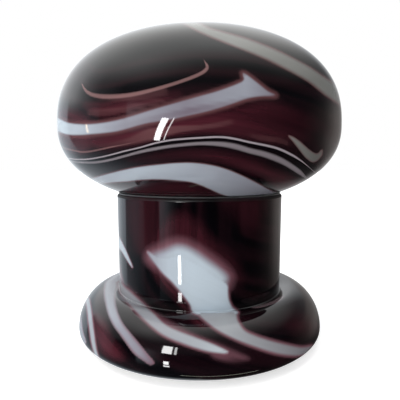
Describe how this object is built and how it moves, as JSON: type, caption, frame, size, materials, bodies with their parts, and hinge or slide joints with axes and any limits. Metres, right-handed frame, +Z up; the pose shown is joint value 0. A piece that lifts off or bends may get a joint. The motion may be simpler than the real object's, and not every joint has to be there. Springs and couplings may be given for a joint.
{
  "type": "glass table lamp",
  "caption": "Mushroom-shaped blown glass table lamp: a lift-off glass cap over a bulb, on a hollow glass column with a wide foot.",
  "frame": {"origin": "centre of the ring that the lamp stands on, at the table's surface", "axes": "+Z up along the lamp's axis; -Y towards the viewer of the picture; +Y towards the cord's inlet"},
  "size_m": [0.2202, 0.2202, 0.2404],
  "materials": {
    "marbled_glass": "polished, cased and marbled",
    "clear_silicone": "smooth, milky",
    "grey_felt": "felt",
    "black_steel": "satin",
    "black_rubber": "matt",
    "zinc_steel": "zinc plated",
    "plain_brass": "turned",
    "black_plastic": "fine matt",
    "porcelain": "glazed",
    "cap_aluminium": "bright",
    "black_glass": "glossy",
    "clear_glass": "clear",
    "solder": "dull",
    "phosphor": "matt",
    "board": "satin"
  },
  "bodies": {
    "lamp": {"glass_base": "marbled_glass", "seat_ring": "clear_silicone", "felt_ring": "grey_felt", "base_plate": "black_steel", "base_gasket": "black_rubber", "rim_clips": "zinc_steel", "clip_pads": "black_rubber", "clip_screws": "zinc_steel", "clip_nuts": "zinc_steel", "socket_bracket": "zinc_steel", "bracket_screws": "zinc_steel", "bracket_nuts": "zinc_steel", "threaded_tube": "plain_brass", "tube_nuts": "plain_brass", "lock_washer": "zinc_steel", "holder_cap": "black_plastic", "cap_grub_screw": "zinc_steel", "holder_shell": "black_plastic", "socket_insert": "porcelain", "screw_shell": "plain_brass", "centre_contact": "plain_brass", "contact_rivets": "plain_brass", "terminal_blocks": "plain_brass", "terminal_screws": "zinc_steel", "cord_grommet": "black_rubber"},
    "shade": {"glass_shade": "marbled_glass"},
    "bulb_foot": {"bulb_tip": "solder"},
    "bulb": {"bulb_insulator": "black_glass", "bulb_cap": "cap_aluminium", "bulb_envelope": "clear_glass", "bulb_stem": "clear_glass", "bulb_wires": "zinc_steel", "bulb_filaments": "phosphor", "bulb_driver": "board"}
  },
  "joints": [
    {"name": "shade_lift", "type": "slide", "parent": "lamp", "child": "shade", "axis": [0, 0, 1], "range_m": [0, 0.1]},
    {"name": "bulb_rise", "type": "slide", "parent": "lamp", "child": "bulb_foot", "axis": [0, 0, 1], "range_m": [0, 0.0142]},
    {"name": "bulb_turn", "type": "hinge", "parent": "bulb_foot", "child": "bulb", "pos_m": [0, 0, 0.1], "axis": [0, 0, 1], "range_deg": [0, 1400]}
  ],
  "couplings": [
    {"joint": "bulb_rise", "follows": "bulb_turn", "m_per_rad": 0.00057757}
  ]
}
